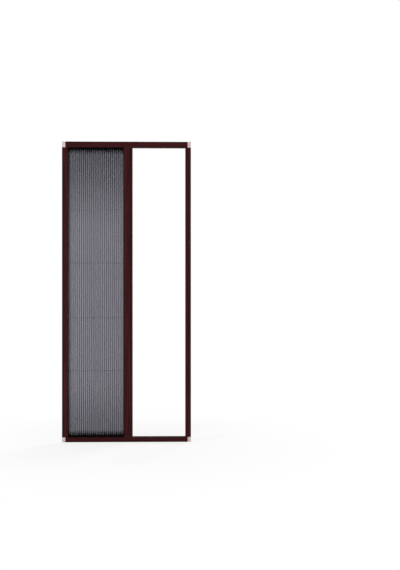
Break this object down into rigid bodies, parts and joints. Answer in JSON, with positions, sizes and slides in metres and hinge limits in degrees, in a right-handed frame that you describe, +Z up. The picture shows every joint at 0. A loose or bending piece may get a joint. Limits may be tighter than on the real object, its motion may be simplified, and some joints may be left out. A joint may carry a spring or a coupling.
{
  "type": "accordion insect screen door",
  "caption": "Full-height pleated insect screen door: a fixed frame, an accordion mesh and a pull bar that slides between the jambs, kept upright by cords that run over rollers.",
  "frame": {"origin": "middle of the frame's underside", "axes": "+X to the right seen from the front, along the bar's travel towards closed; +Y to the back; +Z up"},
  "size_m": [0.9, 0.04, 2.1],
  "materials": {
    "frame_finish": "dark red-brown wood-grain film on an extrusion, satin",
    "corner_plastic": "pale warm grey moulded plastic",
    "screw_steel": "zinc-plated",
    "brush_pile": "woven black pile",
    "magnet_rubber": "flexible magnet strip, matt",
    "screen_mesh": "grey pleated insect mesh, see-through weave",
    "ferrule_brass": "crimped",
    "screen_cord": "fine twisted polyester",
    "strip_plastic": "extruded dark plastic",
    "roller_plastic": "natural acetal",
    "cap_plastic": "black moulded nylon"
  },
  "bodies": {
    "frame": {"top_rail": "frame_finish", "bottom_rail": "frame_finish", "left_jamb": "frame_finish", "right_jamb": "frame_finish", "corner_block_top_left": "corner_plastic", "corner_block_top_right": "corner_plastic", "corner_block_bottom_left": "corner_plastic", "corner_block_bottom_right": "corner_plastic", "corner_screws": "screw_steel", "brush_seal_top_front": "brush_pile", "brush_seal_top_back": "brush_pile", "brush_seal_bottom_front": "brush_pile", "brush_seal_bottom_back": "brush_pile", "mesh_anchor_strip": "strip_plastic", "magnet_receiver": "strip_plastic", "jamb_magnet": "magnet_rubber", "pleated_mesh": "screen_mesh", "cord_ferrules": "ferrule_brass", "cord_1_in_mesh": "screen_cord", "cord_2_in_mesh": "screen_cord", "cord_3_in_mesh": "screen_cord", "cord_4_in_mesh": "screen_cord", "cord_1_in_rail": "screen_cord", "cord_2_in_rail": "screen_cord", "cord_3_in_rail": "screen_cord", "cord_4_in_rail": "screen_cord"},
    "pull_bar_assembly": {"pull_bar": "frame_finish", "mesh_clamp_strip": "strip_plastic", "bar_magnet": "magnet_rubber", "top_end_cap": "cap_plastic", "bottom_end_cap": "cap_plastic", "end_cap_screws": "screw_steel", "cord_guides": "cap_plastic", "top_roller_pin": "screw_steel", "bottom_roller_pin": "screw_steel", "cord_1_in_bar": "screen_cord", "cord_2_in_bar": "screen_cord", "cord_3_in_bar": "screen_cord", "cord_4_in_bar": "screen_cord"},
    "top_roller_front": {"top_roller_front": "roller_plastic"},
    "top_roller_back": {"top_roller_back": "roller_plastic"},
    "bottom_roller_front": {"bottom_roller_front": "roller_plastic"},
    "bottom_roller_back": {"bottom_roller_back": "roller_plastic"}
  },
  "joints": [
    {"name": "bar_slide", "type": "slide", "parent": "frame", "child": "pull_bar_assembly", "axis": [1, 0, 0], "range_m": [-0.3388, 0.379], "deforming": ["pleated_mesh", "cord_1_in_mesh", "cord_2_in_mesh", "cord_3_in_mesh", "cord_4_in_mesh", "cord_1_in_rail", "cord_2_in_rail", "cord_3_in_rail", "cord_4_in_rail"]},
    {"name": "top_roller_front_turn", "type": "hinge", "parent": "pull_bar_assembly", "child": "top_roller_front", "pos_m": [0.011, -0.003, 2.0855], "axis": [0, 1, 0], "range_deg": [-3950, 3950]},
    {"name": "top_roller_back_turn", "type": "hinge", "parent": "pull_bar_assembly", "child": "top_roller_back", "pos_m": [0.011, 0.003, 2.0855], "axis": [0, 1, 0], "range_deg": [-3950, 3950]},
    {"name": "bottom_roller_front_turn", "type": "hinge", "parent": "pull_bar_assembly", "child": "bottom_roller_front", "pos_m": [0.011, -0.003, 0.0145], "axis": [0, 1, 0], "range_deg": [-3950, 3950]},
    {"name": "bottom_roller_back_turn", "type": "hinge", "parent": "pull_bar_assembly", "child": "bottom_roller_back", "pos_m": [0.011, 0.003, 0.0145], "axis": [0, 1, 0], "range_deg": [-3950, 3950]}
  ],
  "couplings": [
    {"joint": "top_roller_front_turn", "follows": "bar_slide", "rad_per_m": -181.82},
    {"joint": "top_roller_back_turn", "follows": "bar_slide", "rad_per_m": -181.82},
    {"joint": "bottom_roller_front_turn", "follows": "bar_slide", "rad_per_m": 181.82},
    {"joint": "bottom_roller_back_turn", "follows": "bar_slide", "rad_per_m": 181.82}
  ]
}
